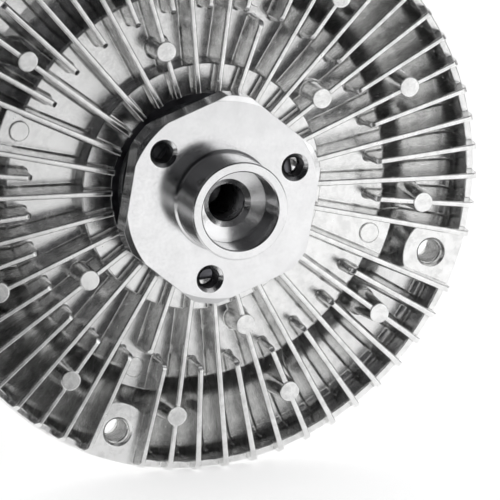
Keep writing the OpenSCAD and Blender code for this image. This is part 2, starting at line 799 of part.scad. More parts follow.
module valve_arm() color([0.66, 0.62, 0.50]) along_axis() {
  difference() {
    union() {
      translate([0, 0, arm_z]) cylinder(d = valve_shaft_d + arm_w + over, h = arm_t);
      translate([0, -arm_w / 2, arm_z]) cube([port_r, arm_w, arm_t]);
      translate([port_r, 0, arm_z]) cylinder(d = port_d + 2 * arm_lap, h = arm_t);
    }
    translate([0, 0, arm_z - over]) cylinder(r = shaft_r - arm_seat, h = arm_t + 2 * over);
  }
}

module valve_clip() color([0.30, 0.30, 0.32]) along_axis()
  rotate([0, 0, 90])
    spring_ring(shaft_r - valve_groove, bush_r, nose_z + play, valve_clip_t, valve_clip_gap);

module valve_bush() color([0.72, 0.55, 0.28]) along_axis()
  tube(shaft_r + valve_fit, bush_r, seal_z0 + valve_seal_w, nose_z);

module valve_shaft_seal() color([0.12, 0.12, 0.12]) along_axis()
  rotate_extrude() translate([shaft_r + valve_seal_w / 2 + valve_fit, seal_z0 + valve_seal_w / 2])
    circle(r = valve_seal_w / 2 - valve_fit);

// The coil as half rings on two alternating centres, with a tang at each end
module bimetal_coil() color([0.62, 0.60, 0.55]) along_axis() {
  for (n = [0 : coil_halves - 1]) translate([n % 2 * coil_pitch / 2, 0, coil_z0]) rotate([0, 0, 180 * n])
    rotate_extrude(angle = 180) translate([coil_r0 + n * coil_pitch / 2, 0]) square([coil_t, coil_w]);
  translate([arm_seat - shaft_r, -coil_t, coil_z0])
    cube([coil_r0 + coil_t + shaft_r - arm_seat, coil_t, coil_w]);
  translate([coil_r1, 0, coil_z0]) cube([anchor_l + anchor_gap, coil_t, coil_w]);
}

hub_shaft();
rear_housing();
front_cover();
cover_seal();
bearing_inner_race();
bearing_outer_race();
bearing_balls();
bearing_cage();
bearing_seal_rear();
bearing_seal_front();
bearing_clip();
rotor_disc();
rotor_clip();
separator_plate();
separator_screws();
pump_wiper();
fill_plug();
valve_shaft();
valve_arm();
valve_clip();
valve_bush();
valve_shaft_seal();
bimetal_coil();
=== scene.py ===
# %% [markdown]
# # A viscous fan clutch
# The clutch sits between an engine's water pump and its cooling fan. The photograph shows it from the
# hub side: a turned steel hub with a six-sided flange, in front of a die-cast aluminium housing whose
# fins shed the heat of the sheared fluid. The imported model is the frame, so every piece made here is
# in metres and goes where that frame says, with the clutch's axis along Y.

# %% Load the frame
import json
import math
import bpy
import numpy as np
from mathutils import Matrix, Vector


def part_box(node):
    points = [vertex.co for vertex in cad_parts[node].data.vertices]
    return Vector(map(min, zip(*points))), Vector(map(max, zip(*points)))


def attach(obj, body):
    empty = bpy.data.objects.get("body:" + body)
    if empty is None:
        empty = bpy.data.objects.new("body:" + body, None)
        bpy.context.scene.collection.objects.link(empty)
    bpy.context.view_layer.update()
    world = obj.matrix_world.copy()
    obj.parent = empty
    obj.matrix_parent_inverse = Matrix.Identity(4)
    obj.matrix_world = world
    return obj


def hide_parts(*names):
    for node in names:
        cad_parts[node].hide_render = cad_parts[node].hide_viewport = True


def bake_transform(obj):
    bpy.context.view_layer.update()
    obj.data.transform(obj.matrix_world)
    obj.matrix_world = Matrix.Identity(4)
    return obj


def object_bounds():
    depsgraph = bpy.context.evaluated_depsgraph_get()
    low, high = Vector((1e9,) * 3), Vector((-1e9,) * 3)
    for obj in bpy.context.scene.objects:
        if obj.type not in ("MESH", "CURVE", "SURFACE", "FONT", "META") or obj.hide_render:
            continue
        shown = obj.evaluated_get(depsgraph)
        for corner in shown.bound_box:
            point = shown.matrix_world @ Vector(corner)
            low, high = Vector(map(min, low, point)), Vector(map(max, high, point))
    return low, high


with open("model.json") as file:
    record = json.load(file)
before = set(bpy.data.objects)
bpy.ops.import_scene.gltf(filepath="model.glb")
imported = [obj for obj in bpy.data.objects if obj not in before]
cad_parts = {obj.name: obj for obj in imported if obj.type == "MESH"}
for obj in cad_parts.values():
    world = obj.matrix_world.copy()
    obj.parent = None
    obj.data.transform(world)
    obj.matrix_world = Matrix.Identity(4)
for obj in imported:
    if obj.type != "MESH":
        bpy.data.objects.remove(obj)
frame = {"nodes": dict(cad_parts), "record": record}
cad_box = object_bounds()
nodes = frame["nodes"]
MM = 0.001

# %% [markdown]
# ## Camera
# The photograph was taken with a long lens from the hub side, a little to the left and a little above.
# A long lens keeps the rim nearly round, and a short one would swell the hub. The angles and the
# distance are set straight on the camera object, with no shift and no depth of field.

# %% Camera
CAMERA_AZIMUTH = -19.418
CAMERA_ELEVATION = 13.620
CAMERA_PLACE = (-0.65636, -1.88809, 0.46775)
LENS_MM, SENSOR_MM = 457.33, 36.0
NEAREST = 0.01

camera_data = bpy.data.cameras.new("camera")
camera_data.sensor_width = SENSOR_MM
camera_data.lens = LENS_MM
camera_data.clip_start = NEAREST
camera = bpy.data.objects.new("camera", camera_data)
camera.location = CAMERA_PLACE
camera.rotation_euler = (math.radians(90 - CAMERA_ELEVATION), 0, math.radians(CAMERA_AZIMUTH))
bpy.context.collection.objects.link(camera)
bpy.context.scene.camera = camera
bpy.context.scene.view_settings.view_transform = "Standard"
print("camera", round(math.dist(CAMERA_PLACE, (0, 0, 0)), 3), "m from the hub's face")

# %% [markdown]
# ## Node helpers
# A material in Blender is a small graph. Most finishes here need the same few steps: read a place on
# the piece, make a noise, spread it over a range of colours, and press it into the surface as bump.
# One helper adds a node and fills its sockets, so that each finish below reads like a recipe. A Mix
# node has sockets for each kind of value, so the ones for colours are named here by their numbers.

# %% Node helpers
MIX_AMOUNT, MIX_FIRST, MIX_SECOND, MIX_RESULT = 0, 6, 7, 2
WHITE = (1.0, 1.0, 1.0)


def add_node(tree, kind, sockets, out=0, **settings):
    """Adds a shader node, fills its inputs with constants or links, and returns one of its outputs."""
    made = tree.nodes.new("ShaderNode" + kind)
    for name, value in settings.items():
        setattr(made, name, value)
    for name, value in sockets.items():
        if isinstance(value, bpy.types.NodeSocket):
            tree.links.new(value, made.inputs[name])
        else:
            made.inputs[name].default_value = value
    return made.outputs[out]


def compute(tree, operation, *values, **settings):
    """A Math node that works on one, two or three values."""
    return add_node(tree, "Math", dict(enumerate(values)), operation=operation, **settings)


def split(tree, place):
    """X, Y and Z of a place or a direction, as three outputs."""
    axes = tree.nodes.new("ShaderNodeSeparateXYZ")
    tree.links.new(place, axes.inputs["Vector"])
    return axes.outputs


def distance(tree, first, second):
    """sqrt(first^2 + second^2), from two of a place's three numbers."""
    flat = add_node(tree, "CombineXYZ", {"X": first, "Y": second})
    return add_node(tree, "VectorMath", {0: flat}, "Value", operation="LENGTH")


def mixed(tree, amount, first, second, how="MIX"):
    """Mixes two colours by an amount from 0 to 1."""
    sockets = {MIX_AMOUNT: amount, MIX_FIRST: first, MIX_SECOND: second}
    return add_node(tree, "Mix", sockets, MIX_RESULT, data_type="RGBA", blend_type=how)


def new_finish(name, metallic, **constants):
    """A material with a Principled shader. Numbers that hold all over are set on its sockets."""
    material = bpy.data.materials.new(name)
    material.use_nodes = True
    tree = material.node_tree
    shader = tree.nodes["Principled BSDF"]
    shader.inputs["Metallic"].default_value = metallic
    for socket, value in constants.items():
        shader.inputs[socket.replace("_", " ")].default_value = value
    place = add_node(tree, "TexCoord", {}, "Object")
    return material, tree, shader, place


def grain(tree, place, per_metre, detail=2.0, rough=0.5):
    """Noise with the given number of grains in a metre, from 0 to 1."""
    sockets = {"Vector": place, "Scale": per_metre, "Detail": detail, "Roughness": rough}
    return add_node(tree, "TexNoise", sockets, "Fac")


def spread(tree, value, low, high, start=0.3, end=0.7):
    """Maps a value between start and end to a number between low and high. Noise mostly lies between
    0.3 and 0.7."""
    sockets = {"Value": value, "From Min": start, "From Max": end, "To Min": low, "To Max": high}
    return add_node(tree, "MapRange", sockets)


def shades(tree, value, stops):
    """A colour ramp with the given (position, colour) stops."""
    ramp = tree.nodes.new("ShaderNodeValToRGB")
    marks = ramp.color_ramp.elements
    for mark, (position, colour) in zip(marks, (stops[0], stops[-1])):
        mark.position = position
        mark.color = (*colour, 1)
    for position, colour in stops[1:-1]:
        marks.new(position).color = (*colour, 1)
    tree.links.new(value, ramp.inputs["Fac"])
    return ramp.outputs["Color"]


def press(tree, height, depth, strength=1.0, under=None):
    """Bump of the given depth in metres, on top of another normal if one is given."""
    sockets = {"Height": height, "Distance": depth, "Strength": strength}
    if under is not None:
        sockets["Normal"] = under
    return add_node(tree, "Bump", sockets)


def wire(tree, shader, **links):
    """Links outputs to the shader's sockets by name."""
    for socket, value in links.items():
        tree.links.new(value, shader.inputs[socket.replace("_", " ")])


def dress(material, *names):
    """Gives CAD nodes this one material."""
    for name in names:
        nodes[name].data.materials.clear()
        nodes[name].data.materials.append(material)


# %% [markdown]
# ## Cast aluminium
# The housing and the cover are pressure die castings. The skin of such a casting is bright and smooth
# where the die was polished, with a cloudy mottle where the melt chilled and a fine grain that only
# shows in glancing light. Two noises in the part's own coordinates make both without a seam. Bare metal
# gets most of its tone from what it mirrors: the mottle changes the colour by about a quarter, and the
# roughness and a shallow bump break up the reflections. The Bevel node rounds the shading of every
# arris by 0.6 mm, as a cast edge is rounded.

# %% Cast aluminium
MOTTLE_PER_METRE, GRAIN_PER_METRE = 320.0, 900.0
MOTTLE_DARK, MOTTLE_LIGHT = (0.69, 0.69, 0.685), (0.91, 0.91, 0.905)
MOTTLE_DEPTH, GRAIN_DEPTH = 0.25 * MM, 0.03 * MM
CAST_SMOOTH, CAST_ROUGH = 0.18, 0.28
ARRIS_R = 0.6 * MM


def cast_aluminium(name, edge_radius):
    """Die-cast skin: cloudy grey, finely grained, with its edges rounded by the given radius."""
    material, tree, shader, place = new_finish(name, metallic=1.0)
    cloud = grain(tree, place, MOTTLE_PER_METRE, detail=5.0, rough=0.65)
    fine = grain(tree, place, GRAIN_PER_METRE, detail=3.0, rough=0.6)
    colour = shades(tree, cloud, [(0.36, MOTTLE_DARK), (0.64, MOTTLE_LIGHT)])
    rough = spread(tree, cloud, CAST_SMOOTH, CAST_ROUGH)
    edge = None
    if edge_radius > 0:
        edge = add_node(tree, "Bevel", {"Radius": edge_radius}, samples=6)
    bump = press(tree, cloud, MOTTLE_DEPTH, strength=0.11, under=edge)
    bump = press(tree, fine, GRAIN_DEPTH, strength=0.15, under=bump)
    wire(tree, shader, Base_Color=colour, Roughness=rough, Normal=bump)
    return material


casting = cast_aluminium("cast_aluminium", ARRIS_R)
dress(casting, "rear_housing", "front_cover")
print("dressed the two castings")

# %% [markdown]
# ## Turned steel
# The hub is turned from bar, and the tool leaves rings a few tenths of a millimetre apart round the
# axis. As geometry they would take millions of faces, so they are a bump. The rings follow the distance
# from the Y axis on the faces and the place along Y on the sides, so a wave of their sum runs round
# both. It is pressed in by one to three microns: enough to smear a reflection across the rings, too
# little to show as lines. Little light gets into holes and corners, so these are darkened.

# %% Turned steel
TURNED_EDGE_R = 0.25 * MM
HOLLOW_REACH, HOLLOW_TONE = 5.0 * MM, (0.45, 0.45, 0.45)
HOLLOW_SHUT, HOLLOW_OPEN = 0.15, 0.75


def ring_wave(tree, place, pitch):
    """A wave round the Y axis: sin(2 pi (radius + y) / pitch), from 0 to 1."""
    axes = split(tree, place)
    radius = distance(tree, axes["X"], axes["Z"])
    run = compute(tree, "ADD", radius, axes["Y"])
    turns = compute(tree, "MULTIPLY", run, 2 * math.pi / pitch)
    wave = compute(tree, "SINE", turns)
    return spread(tree, wave, 0.0, 1.0, start=-1.0, end=1.0)


def shaded_hollows(tree, colour):
    """Multiplies a colour by a darker one where surfaces close by shut the light out."""
    openness = add_node(tree, "AmbientOcclusion", {"Distance": HOLLOW_REACH}, "AO", samples=8)
    tone = shades(tree, openness, [(HOLLOW_SHUT, HOLLOW_TONE), (HOLLOW_OPEN, WHITE)])
    return mixed(tree, 1.0, colour, tone, how="MULTIPLY")


def turned_metal(name, dark, light, smooth, rough, ring_pitch, ring_depth):
    """Metal with turning rings, faint clouds, slightly broken edges and dark hollows."""
    material, tree, shader, place = new_finish(name, metallic=1.0)
    cloud = grain(tree, place, per_metre=140.0, detail=3.0)
    fine = grain(tree, place, per_metre=900.0)
    rings = ring_wave(tree, place, ring_pitch)
    colour = shaded_hollows(tree, shades(tree, cloud, [(0.30, dark), (0.70, light)]))
    roughness = spread(tree, fine, smooth, rough)
    edge = add_node(tree, "Bevel", {"Radius": TURNED_EDGE_R}, samples=4)
    bump = press(tree, rings, ring_depth, strength=0.5, under=edge)
    wire(tree, shader, Base_Color=colour, Roughness=roughness, Normal=bump)
    return material


hub_steel = turned_metal("turned_steel", (0.70, 0.70, 0.705), (0.77, 0.77, 0.775),
                         smooth=0.13, rough=0.19, ring_pitch=0.30 * MM, ring_depth=0.0015 * MM)
rotor_metal = turned_metal("turned_aluminium", (0.66, 0.66, 0.67), (0.76, 0.76, 0.77),
                           smooth=0.20, rough=0.30, ring_pitch=0.25 * MM, ring_depth=0.003 * MM)
race_steel = turned_metal("bearing_steel", (0.58, 0.59, 0.61), (0.66, 0.67, 0.69),
                          smooth=0.10, rough=0.18, ring_pitch=0.15 * MM, ring_depth=0.001 * MM)
dress(hub_steel, "hub_shaft")
dress(rotor_metal, "rotor_disc")
dress(race_steel, "bearing_inner_race", "bearing_outer_race", "bearing_balls")
print("dressed the turned parts")

# %% [markdown]
# ## Small parts
# Plated sheet, spring steel, brass and the bimetal strip differ in colour and in how their grain lies,
# so one recipe with other numbers makes them all. Rubber and plastic aren't metal: their gloss is a
# thin film over a dark body, and a second recipe makes both. The numbers of a recipe are its dark and
# light tone, its lowest and highest roughness and, for metal, its blotches in a metre.

# %% Small parts
def plated_metal(name, dark, light, smooth, rough, per_metre):
    """Thin plating or spring stock: blotches of two tones and a fine grain."""
    material, tree, shader, place = new_finish(name, metallic=1.0)
    blotch = grain(tree, place, per_metre, detail=4.0, rough=0.6)
    fine = grain(tree, place, per_metre=2500.0)
    colour = shades(tree, blotch, [(0.32, dark), (0.68, light)])
    roughness = spread(tree, blotch, smooth, rough)
    bump = press(tree, fine, depth=0.01 * MM, strength=0.4)
    wire(tree, shader, Base_Color=colour, Roughness=roughness, Normal=bump)
    return material


def moulded(name, dark, light, smooth, rough):
    """Rubber or plastic with a matt, faintly pitted skin."""
    material, tree, shader, place = new_finish(name, metallic=0.0, Specular_IOR_Level=0.4)
    pits = grain(tree, place, per_metre=1800.0, detail=3.0)
    colour = shades(tree, pits, [(0.35, dark), (0.70, light)])
    roughness = spread(tree, pits, smooth, rough)
    bump = press(tree, pits, depth=0.02 * MM, strength=0.5)
    wire(tree, shader, Base_Color=colour, Roughness=roughness, Normal=bump)
    return material


zinc = plated_metal("zinc_steel", (0.52, 0.53, 0.55), (0.68, 0.69, 0.71), 0.22, 0.34, 160.0)
spring = plated_metal("spring_steel", (0.10, 0.10, 0.11), (0.20, 0.20, 0.22), 0.28, 0.42, 200.0)
brass = plated_metal("brass", (0.58, 0.42, 0.17), (0.72, 0.55, 0.26), 0.18, 0.30, 180.0)
bimetal = plated_metal("bimetal", (0.44, 0.41, 0.36), (0.60, 0.56, 0.48), 0.20, 0.34, 120.0)
rubber = moulded("black_rubber", (0.012, 0.012, 0.013), (0.028, 0.028, 0.030), 0.50, 0.70)
plastic = moulded("dark_plastic", (0.030, 0.026, 0.022), (0.050, 0.044, 0.038), 0.40, 0.55)
dress(zinc, "separator_plate", "separator_screws", "fill_plug", "valve_shaft", "valve_arm")
dress(spring, "bearing_clip", "rotor_clip", "valve_clip")
dress(brass, "bearing_cage", "valve_bush")
dress(bimetal, "bimetal_coil")
dress(rubber, "cover_seal", "bearing_seal_rear", "bearing_seal_front", "valve_shaft_seal")
dress(plastic, "pump_wiper")
print("dressed the small parts")

# %% [markdown]
# ## New pieces
# A new piece is a list of points and a list of faces that numpy works out, put into a mesh at the
# origin. Threads, fillets, bends and the coil are all a closed section carried along a path, so one
# function lists the faces of such a tube for all of them, and another joins many tubes into one piece.

# %% Mesh helpers
SHARP_ANGLE = math.radians(40)


def mesh_piece(name, points, faces, material, body, slot):
    """Puts points and faces into a new mesh at the origin, dressed, and riding on a body if one is
    named."""
    mesh = bpy.data.meshes.new(name)
    mesh.from_pydata(points.tolist(), [], faces)
    mesh.polygons.foreach_set("use_smooth", [True] * len(mesh.polygons))
    mesh.materials.append(material)
    mesh.validate()
    mesh.update()
    mesh.set_sharp_from_angle(angle=SHARP_ANGLE)
    piece = bpy.data.objects.new(name, mesh)
    bpy.context.collection.objects.link(piece)
    if body:
        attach(piece, body)
    print(name, len(mesh.vertices), "points", len(mesh.polygons), "faces")
    return piece


def tube_faces(rows, columns, closed):
    """Faces of a section of so many columns along a path of so many rows: each joins two neighbours of
    one row to the same two of the next. A path that isn't closed gets a cap at each end."""
    row = np.arange(rows if closed else rows - 1)[:, None] * columns
    here = np.arange(columns)
    after = (here + 1) % columns
    ahead = (row + columns) % (rows * columns)
    quads = np.stack([row + here, row + after, ahead + after, ahead + here], axis=-1)
    faces = quads.reshape(-1, 4).tolist()
    if not closed:
        faces.append(list(range(columns))[::-1])
        faces.append(list(range((rows - 1) * columns, rows * columns)))
    return faces


def join_parts(parts):
    """Joins lists of points and faces into one list of each."""
    points, faces, start = [], [], 0
    for part_points, part_faces in parts:
        points.append(part_points)
        faces += [[start + i for i in face] for face in part_faces]
        start += len(part_points)
    return np.concatenate(points), faces


# %% [markdown]
# ## Threads
# The hub's centre, its three flange holes and the four fan lugs are tapped. In the frame these are
# plain bores at the core size. A thread is one ridge, wide at its root and narrow at its crest, carried
# along a helix: a grid whose first parameter runs along the helix and whose second goes round the
# section. Each ridge is a solid that is seated a little way into the bore's wall.

# %% Thread ridge
THREAD_SEAT = 0.05 * MM
ROOT_SHARE, CREST_SHARE = 0.46, 0.08
STEPS_PER_TURN = 40


def thread_ridge(centre, bore_r, y0, y1, pitch, depth):
    """Points and faces of a ridge on the helix (r cos u, y0 + pitch (u / 2 pi + 1/2), r sin u).
    The section runs from just behind the bore's wall to a crest that stands depth inside it."""
    wall_r, crest_r = bore_r + THREAD_SEAT, bore_r - depth
    section_r = np.array([wall_r, crest_r, crest_r, wall_r])
    section_y = pitch * np.array([ROOT_SHARE, CREST_SHARE, -CREST_SHARE, -ROOT_SHARE])
    turns = (y1 - y0) / pitch - 1
    u = np.linspace(0, 2 * math.pi * turns, int(STEPS_PER_TURN * turns))[:, None]
    x = centre[0] + section_r * np.cos(u)
    y = y0 + pitch * (u / (2 * math.pi) + 0.5) + section_y
    z = centre[1] + section_r * np.sin(u)
    points = np.stack([x, y, z], axis=-1).reshape(-1, 3)
    return points, tube_faces(*x.shape, closed=False)


# %% [markdown]
# The bores' radii and circles come from the imported record's mounts, so the threads follow the frame
# if a size there changes. Angles run clockwise seen from the hub side, from +X. The ridges in the hub
# get a much darker steel than the hub itself: this is painted shade, which keeps the tapped holes dark.

# %% Threads
HUB_ANGLE, LUG_ANGLE = -20.1, 19.7
CENTRE_START, CENTRE_END, CENTRE_PITCH, CENTRE_DEPTH = -3.3 * MM, 20.4 * MM, 1.5 * MM, 0.5 * MM
FLANGE_START, FLANGE_END, FLANGE_PITCH, FLANGE_DEPTH = 0.8 * MM, 7.8 * MM, 1.25 * MM, 0.4 * MM
LUG_LENGTH, LUG_PITCH, LUG_DEPTH = 12.5 * MM, 1.5 * MM, 0.45 * MM

mounts = {mount["name"]: mount for mount in frame["record"]["mounts"]}


def round_places(mount, first_angle):
    """(x, z) of each hole of a bolt pattern."""
    count = mount["dims"]["count"]
    radius = mount["dims"]["pcd_mm"] / 2 * MM
    turn = np.radians(first_angle + 360 / count * np.arange(count))
    return np.stack([radius * np.cos(turn), -radius * np.sin(turn)], axis=1)


centre_bore = mounts["centre_thread"]["dims"]["r_mm"] * MM
hub_bore = mounts["hub_bolts"]["dims"]["hole_r_mm"] * MM
lug_bore = mounts["fan_bolts"]["dims"]["hole_r_mm"] * MM
lug_start = mounts["fan_bolts"]["pos_m"][1]
lug_end = lug_start + LUG_LENGTH

centre_ridge = thread_ridge((0, 0), centre_bore, CENTRE_START, CENTRE_END, CENTRE_PITCH, CENTRE_DEPTH)
hub_ridges = [thread_ridge(place, hub_bore, FLANGE_START, FLANGE_END, FLANGE_PITCH, FLANGE_DEPTH)
              for place in round_places(mounts["hub_bolts"], HUB_ANGLE)]
lug_ridges = [thread_ridge(place, lug_bore, lug_start, lug_end, LUG_PITCH, LUG_DEPTH)
              for place in round_places(mounts["fan_bolts"], LUG_ANGLE)]
# The ridges' near-black steel is painted shade for the inside of the tapped holes.
tapped_steel = plated_metal("tapped_steel", (0.10, 0.10, 0.105), (0.18, 0.18, 0.185), 0.24, 0.36, 300.0)
mesh_piece("centre_thread", *centre_ridge, tapped_steel, "hub", "machined_steel")
mesh_piece("flange_threads", *join_parts(hub_ridges), tapped_steel, "hub", "machined_steel")
mesh_piece("lug_threads", *join_parts(lug_ridges), casting, "housing", "cast_aluminium")

# %% [markdown]
# ## Fillets
# A casting has no sharp inside corners: each fin and post runs into the housing through a fillet, and
# in the photograph these make the soft dark line along every foot. A fillet is a path along the foot
# with a quarter arc at each point of it. The arc starts on the housing's skin and ends on the fin's
# drafted side, so its two directions are the skin's normal and the way out from the fin. The skin is
# the housing's own profile: ring, plateau, cone, channel floor and lip. Two of its corners are bent: the
# cone swings into the floor on a wide arc and the floor into the lip on a tight one.

# %% The housing's profile
RING_Y, PLATEAU_Y, FLOOR_Y, FIN_Y = 20.9 * MM, 27.0 * MM, 35.4 * MM, 16.8 * MM
RING_R, PLATEAU_R, CHANNEL_R, TURN_R, LIP_R = 41.3 * MM, 65.4 * MM, 73.3 * MM, 81.55 * MM, 92.8 * MM
FLOOR_FALL, BED_RISE, LIP_Y = 0.8 * MM, 0.2 * MM, 22.6 * MM
TROUGH_BEND, LIP_BEND = 14.0 * MM, 3.6 * MM
STEEPEST = 0.999

corner_r = np.array([0, RING_R, RING_R, PLATEAU_R, CHANNEL_R, TURN_R, LIP_R])
corner_y = np.array([RING_Y, RING_Y, PLATEAU_Y, PLATEAU_Y,
                     FLOOR_Y - FLOOR_FALL, FLOOR_Y, FLOOR_Y - BED_RISE])
plateau_edge, trough_corner, floor_turn, lip_corner = np.stack([corner_r, corner_y], axis=1)[3:]
lip_edge = np.array([LIP_R, LIP_Y])


def bend(before, corner, after, radius):
    """Centre, ends, corner and radius of the arc that rounds a corner (r, y) of the profile, on the open
    side of it. It touches both sides at radius * tan(half of the turn) from the corner."""
    one = (corner - before) / np.linalg.norm(corner - before)
    two = (after - corner) / np.linalg.norm(after - corner)
    reach = radius * math.tan(math.acos(one @ two) / 2)
    start, end = corner - one * reach, corner + two * reach
    centre = start + radius * np.array([one[1], -one[0]])
    return centre, start, end, corner, radius


trough = bend(plateau_edge, trough_corner, floor_turn, TROUGH_BEND)
lip = bend(floor_turn, lip_corner, lip_edge, LIP_BEND)


def skin(r):
    """Height y of the housing's skin at radius r, and its normal (along r, along y) out of the metal.
    In a bend with centre (a, b) the height is b + sqrt(radius^2 - (r - a)^2), and its lean is kept
    below STEEPEST, so that the normal can be worked out everywhere."""
    r = np.asarray(r, float)
    zone = np.clip(np.searchsorted(corner_r, r, side="right") - 1, 0, len(corner_r) - 2)
    fall = (corner_y[zone + 1] - corner_y[zone]) / (corner_r[zone + 1] - corner_r[zone])
    y = corner_y[zone] + fall * (r - corner_r[zone])
    for centre, start, end, _, radius in (trough, lip):
        inside = (r > start[0]) & (r < end[0])
        lean = np.clip((r - centre[0]) / radius, -STEEPEST, STEEPEST)
        lift = np.sqrt(1 - lean ** 2)
        y = np.where(inside, centre[1] + radius * lift, y)
        fall = np.where(inside, -lean / lift, fall)
    normal = np.stack([fall, -np.ones_like(fall)], axis=-1)
    return y, normal / np.linalg.norm(normal, axis=-1, keepdims=True)


print("skin at the plateau's edge and at the floor's turn:", skin([PLATEAU_R, TURN_R])[0])

# %% [markdown]
# The path is given in the fin's own plane: x runs outwards from the axis and t across the fin. With the
# arc's angle f from 0 to 90 degrees, a point of the fillet is
# foot + out * R (1 - sin f) + normal * R (1 - cos f), less the fin's draft. One more point inside the
# metal closes the section. Each path runs the same way round its fin, so that all faces point outwards.

# %% Fillet strip
FILLET_R = 0.7 * MM
FIN_HALF = 0.9 * MM
DRAFT = math.tan(math.radians(3.4))
SEAT = 0.03 * MM
ROOT_DEPTH = 3 * SEAT
ARC = np.radians(np.linspace(0, 90, 7))
NOSE = np.radians(np.linspace(90, 270, 15))
FIN_PLACES = 60
FIN_STEP = 360 / FIN_PLACES


def foot_half(top_half, x):
    """Half thickness of a fin or post at its foot: the half at its top, and the draft times its depth."""
    return top_half + (skin(x)[0] - FIN_Y) * DRAFT


def side_path(x, side):
    """Path along one side of a fin's foot, and the way out from it. x lists places outwards from the
    axis. The path runs inwards on side 1 and outwards on side -1."""
    x = x[::-side]
    path = np.stack([x, side * foot_half(FIN_HALF, x)], axis=1)
    return path, np.tile([0.0, side], (len(x), 1))


def nose_path(x0, x1):
    """Path round a short fin: inwards along one side from x1, round the nose about x0, and back."""
    out = np.stack([np.cos(NOSE), np.sin(NOSE)], axis=1)
    nose = np.array([x0, 0.0]) + foot_half(FIN_HALF, x0) * out
    outer_end = np.array([x1])
    parts = side_path(outer_end, 1), (nose, out), side_path(outer_end, -1)
    return [np.concatenate(part) for part in zip(*parts)]


def swept_arc(path, out, place, closed=False):
    """Points and faces of the quarter arc carried along a path at a fin place."""
    y, normal = skin(np.hypot(path[:, 0], path[:, 1]))
    away = np.append(FILLET_R * (1 - np.sin(ARC) - DRAFT * (1 - np.cos(ARC))), -ROOT_DEPTH)
    rise = np.append(FILLET_R * (1 - np.cos(ARC)), -ROOT_DEPTH)
    away[len(ARC) - 1] -= SEAT
    rise[0] -= SEAT
    x = path[:, :1] + out[:, :1] * away + normal[:, :1] * rise
    t = path[:, 1:] + out[:, 1:] * away
    y = y[:, None] + normal[:, 1:] * rise
    turn = math.radians(LUG_ANGLE + place * FIN_STEP)
    frame_x = x * math.cos(turn) - t * math.sin(turn)
    frame_z = -x * math.sin(turn) - t * math.cos(turn)
    points = np.stack([frame_x, y, frame_z], axis=-1)
    return points.reshape(-1, 3), tube_faces(*x.shape, closed)


foot_mm = 2 * foot_half(FIN_HALF, [PLATEAU_R, TURN_R]) / MM
print("the fins' feet are", foot_mm.round(2), "mm thick at the plateau's edge and the floor's turn")

# %% [markdown]
# The long fins cross the ring, the plateau and the channel, so each side gets three strips. The short
# fins start on the plateau with a round nose, and one strip runs round it. At the four lugs there is no
# fin in the channel, and the posts get a ring each.

# %% Fin and post fillets
LUG_STEP = 15
RING_FROM, SHORT_R, STUB_R, POST_HALF = 33.5 * MM, 60.2 * MM, 57.0 * MM, 3.3 * MM
EDGE_GAP, CONE_GAP, TURN_GAP = 0.5 * MM, 0.3 * MM, 0.55 * MM
OUTER_POST_R, INNER_POST_R = 76.35 * MM, 48.5 * MM
OUTER_POSTS, INNER_POSTS = range(3, FIN_PLACES, 5), (9, 21, 39, 51)
TROUGH_POINTS = 9
LIP_SWING = np.radians(np.arange(0, 81, 10))
POST_SWING = np.radians(np.arange(0, 360, 10))


def post_ring(x, place):
    """Fillet round a post at distance x from the axis."""
    out = np.stack([np.cos(POST_SWING), np.sin(POST_SWING)], axis=1)
    path = np.array([x, 0.0]) + foot_half(POST_HALF, x) * out
    return swept_arc(path, out, place, closed=True)


_, trough_start, trough_end, _, _ = trough
lip_centre = lip[0]
plateau_from, plateau_to = RING_R + FILLET_R, PLATEAU_R - EDGE_GAP
ring_zone = np.array([RING_FROM, RING_R - FILLET_R])
plateau_zone = np.array([plateau_from, plateau_to])
stub_zone = np.array([plateau_from, STUB_R])
trough_zone = np.linspace(trough_start[0], trough_end[0], TROUGH_POINTS)
turn_zone = np.array([TURN_R - TURN_GAP, TURN_R + TURN_GAP])
lip_zone = lip_centre[0] + LIP_BEND * np.sin(LIP_SWING)
channel_zone = np.concatenate([[PLATEAU_R + CONE_GAP], trough_zone, turn_zone, lip_zone])
strips = []
for place in range(FIN_PLACES):
    is_long = place % 2 == 1
    is_lug = place % LUG_STEP == 0
    zones = []
    if is_long:
        zones += [ring_zone, stub_zone if is_lug else plateau_zone]
    if not is_lug:
        zones.append(channel_zone)
    strips += [swept_arc(*side_path(zone, side), place) for zone in zones for side in (1, -1)]
    if not is_long and not is_lug:
        strips.append(swept_arc(*nose_path(SHORT_R, plateau_to), place))
strips += [post_ring(OUTER_POST_R, place) for place in OUTER_POSTS]
strips += [post_ring(INNER_POST_R, place) for place in INNER_POSTS]
fillet_skin = cast_aluminium("cast_fillets", 0.0)
mesh_piece("fin_fillets", *join_parts(strips), fillet_skin, "housing", "cast_aluminium")

# %% [markdown]
# The two bends of the channel are rings: the arc, closed by the corner behind it, turned once round
# the axis. With the arc's angle f and its centre (a, b), a point of the section is
# (a + R cos f, b + R sin f). The fins, the posts and the lugs stand through the rings.

# %% Channel bends
RING_STEPS, BEND_POINTS = 360, 13


def bend_ring(centre, start, end, corner, radius):
    """Points and faces of a bend of the profile, turned round the Y axis."""
    first, last = start - centre, end - centre
    f = np.linspace(math.atan2(first[1], first[0]), math.atan2(last[1], last[0]), BEND_POINTS)
    reach = np.full_like(f, radius)
    reach[[0, -1]] += SEAT
    r = np.append(centre[0] + reach * np.cos(f), corner[0])
    y = np.append(centre[1] + reach * np.sin(f), corner[1])
    turn = np.linspace(0, 2 * math.pi, RING_STEPS, endpoint=False)[:, None]
    points = np.stack([r * np.cos(turn), y + 0 * turn, r * np.sin(turn)], axis=-1)
    return points.reshape(-1, 3), tube_faces(RING_STEPS, len(r), closed=True)


rings = join_parts([bend_ring(*trough), bend_ring(*lip)])
mesh_piece("channel_bends", *rings, fillet_skin, "housing", "cast_aluminium")
